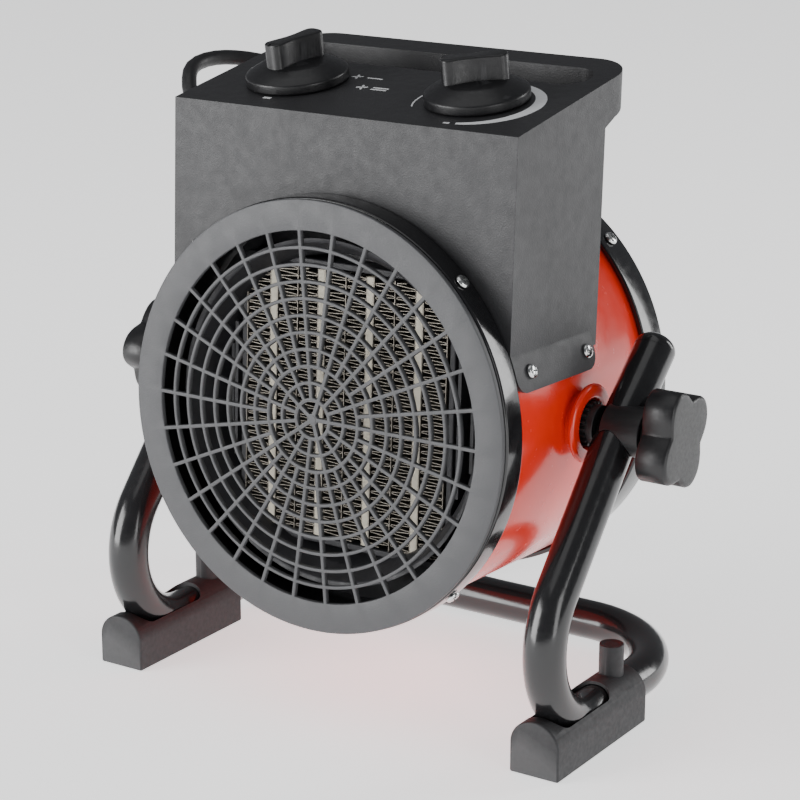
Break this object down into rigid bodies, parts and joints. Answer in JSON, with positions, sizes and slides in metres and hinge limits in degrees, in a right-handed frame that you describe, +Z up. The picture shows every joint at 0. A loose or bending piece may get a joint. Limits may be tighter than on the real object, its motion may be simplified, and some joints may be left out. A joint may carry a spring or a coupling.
{
  "type": "ceramic space heater",
  "caption": "Drum-shaped ceramic fan heater with a control housing and carrying handle, tilting on a bent-tube stand between lobed clamp knobs",
  "frame": {"origin": "on the floor, under the middle of the heater without its cord", "axes": "+Z up, the grille faces -Y, +X to the right of someone looking at the grille"},
  "size_m": [0.302, 0.2454, 0.255],
  "materials": {
    "red_enamel": "glossy red enamel on sheet steel",
    "housing_plastic": "charcoal, fine moulded texture",
    "black_plastic": "satin black",
    "knob_plastic": "semi-gloss black",
    "grey_face": "matte dark grey",
    "dark_plastic": "matte near-black",
    "tube_steel": "black powder coat, smooth",
    "foot_rubber": "matte",
    "cord_rubber": "matte",
    "zinc": "bright zinc plate",
    "fin_aluminium": "mill finish",
    "ceramic": "cream, matte"
  },
  "bodies": {
    "stand": {"stand_tube": "tube_steel", "foot_left": "foot_rubber", "foot_right": "foot_rubber", "foot_pin_left": "black_plastic", "foot_pin_right": "black_plastic", "tube_cap_left": "black_plastic", "tube_cap_right": "black_plastic", "clamp_saddle_left": "black_plastic", "clamp_saddle_right": "black_plastic", "cord_tube": "cord_rubber", "cord_coil": "cord_rubber", "plug": "cord_rubber"},
    "head": {"drum_shell": "red_enamel", "front_rim": "black_plastic", "front_grille": "grey_face", "rear_ring": "black_plastic", "rear_guard": "black_plastic", "control_housing": "housing_plastic", "cord_gland": "cord_rubber", "ptc_frame": "dark_plastic", "ptc_bar_1": "ceramic", "ptc_bar_2": "ceramic", "ptc_bar_3": "ceramic", "ptc_bar_4": "ceramic", "fin_pack_1": "fin_aluminium", "fin_pack_2": "fin_aluminium", "fin_pack_3": "fin_aluminium", "fin_pack_4": "fin_aluminium", "fin_pack_5": "fin_aluminium", "motor": "zinc", "motor_bracket": "zinc", "thermal_cutout": "zinc", "rotary_switch": "dark_plastic", "thermostat": "zinc", "terminal_block": "dark_plastic", "pivot_boss_left": "red_enamel", "pivot_boss_right": "red_enamel", "pivot_washer_left": "black_plastic", "pivot_washer_right": "black_plastic", "pivot_bolt_left": "zinc", "pivot_bolt_right": "zinc", "rim_screw_1": "zinc", "rim_screw_2": "zinc", "rim_screw_3": "zinc", "rim_screw_4": "zinc", "rear_screw_1": "zinc", "rear_screw_2": "zinc", "rear_screw_3": "zinc", "rear_screw_4": "zinc", "flange_screw_1": "zinc", "flange_screw_2": "zinc", "flange_screw_3": "zinc", "flange_screw_4": "zinc"},
    "fan": {"fan_rotor": "dark_plastic", "motor_shaft": "zinc"},
    "selector": {"selector_knob": "knob_plastic"},
    "thermostat_dial": {"thermostat_knob": "knob_plastic"},
    "clamp_left": {"clamp_knob_left": "knob_plastic"},
    "clamp_right": {"clamp_knob_right": "knob_plastic"}
  },
  "joints": [
    {"name": "head_tilt", "type": "hinge", "parent": "stand", "child": "head", "pos_m": [0, -0.00312, 0.1175], "axis": [-1, 0, 0], "range_deg": [-25, 45], "deforming": ["cord_tube"]},
    {"name": "clamp_left_turn", "type": "hinge", "parent": "head", "child": "clamp_left", "pos_m": [-0.11, -0.00312, 0.1175], "axis": [-1, 0, 0], "range_deg": [-180, 0]},
    {"name": "clamp_right_turn", "type": "hinge", "parent": "head", "child": "clamp_right", "pos_m": [0.11, -0.00312, 0.1175], "axis": [1, 0, 0], "range_deg": [0, 180]},
    {"name": "selector_turn", "type": "hinge", "parent": "head", "child": "selector", "pos_m": [-0.04, -0.0137, 0.23577], "axis": [0, -0.1621, 0.9868], "range_deg": [-204, 0]},
    {"name": "thermostat_turn", "type": "hinge", "parent": "head", "child": "thermostat_dial", "pos_m": [0.04, -0.0137, 0.23577], "axis": [0, -0.1621, 0.9868], "range_deg": [-270, 0]},
    {"name": "fan_spin", "type": "hinge", "parent": "head", "child": "fan", "pos_m": [0, -0.00312, 0.1175], "axis": [0, 0.9989, -0.0466], "continuous": true}
  ]
}
